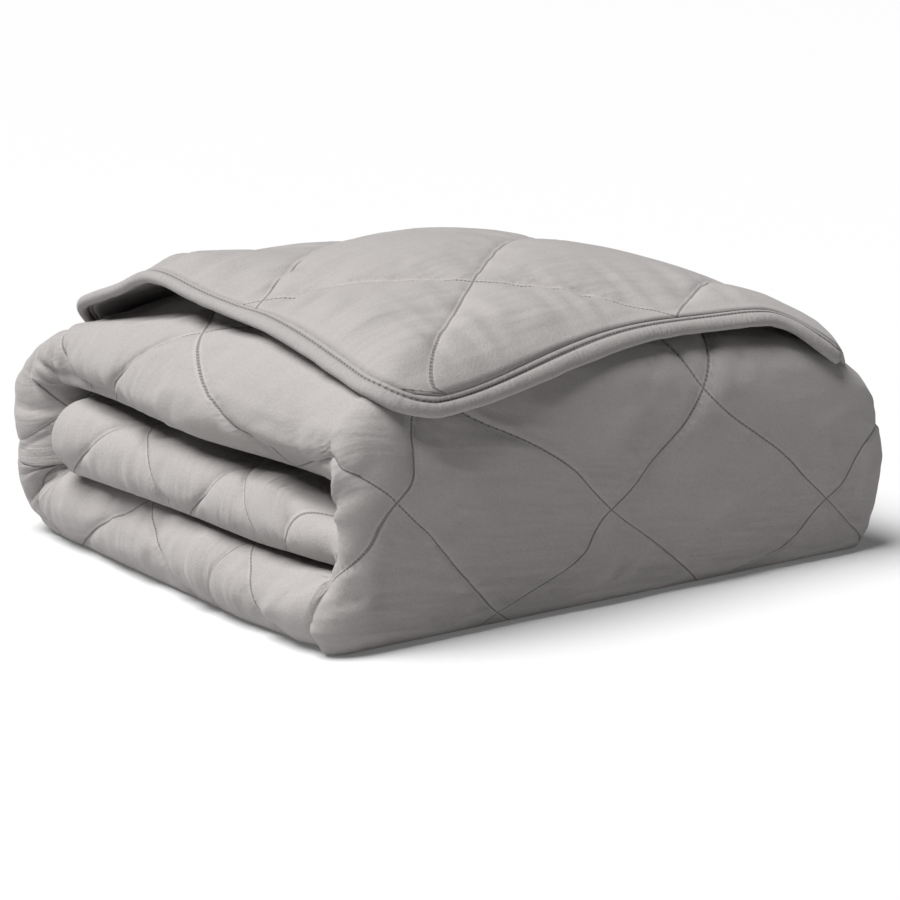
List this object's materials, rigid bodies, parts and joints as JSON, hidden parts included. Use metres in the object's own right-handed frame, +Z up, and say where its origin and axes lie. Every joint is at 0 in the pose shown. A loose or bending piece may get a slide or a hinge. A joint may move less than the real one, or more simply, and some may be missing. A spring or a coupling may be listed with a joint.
{
  "type": "folded cooling blanket",
  "caption": "Quilted cooling blanket folded to a thick bundle of rounded layers, with its bound corner flap lying over the top.",
  "frame": {"origin": "under the middle of the bundle, on the surface that it lies on", "axes": "+X along the wide front face to the right, +Y to the back, +Z up"},
  "size_m": [0.4867, 0.447, 0.2227],
  "materials": {
    "quilted_cloth": "smooth matt woven cloth, warm grey",
    "binding_cloth": "matt woven tape, warm grey"
  },
  "bodies": {
    "root": {"quilt": "quilted_cloth", "edge_binding": "binding_cloth"}
  },
  "joints": []
}
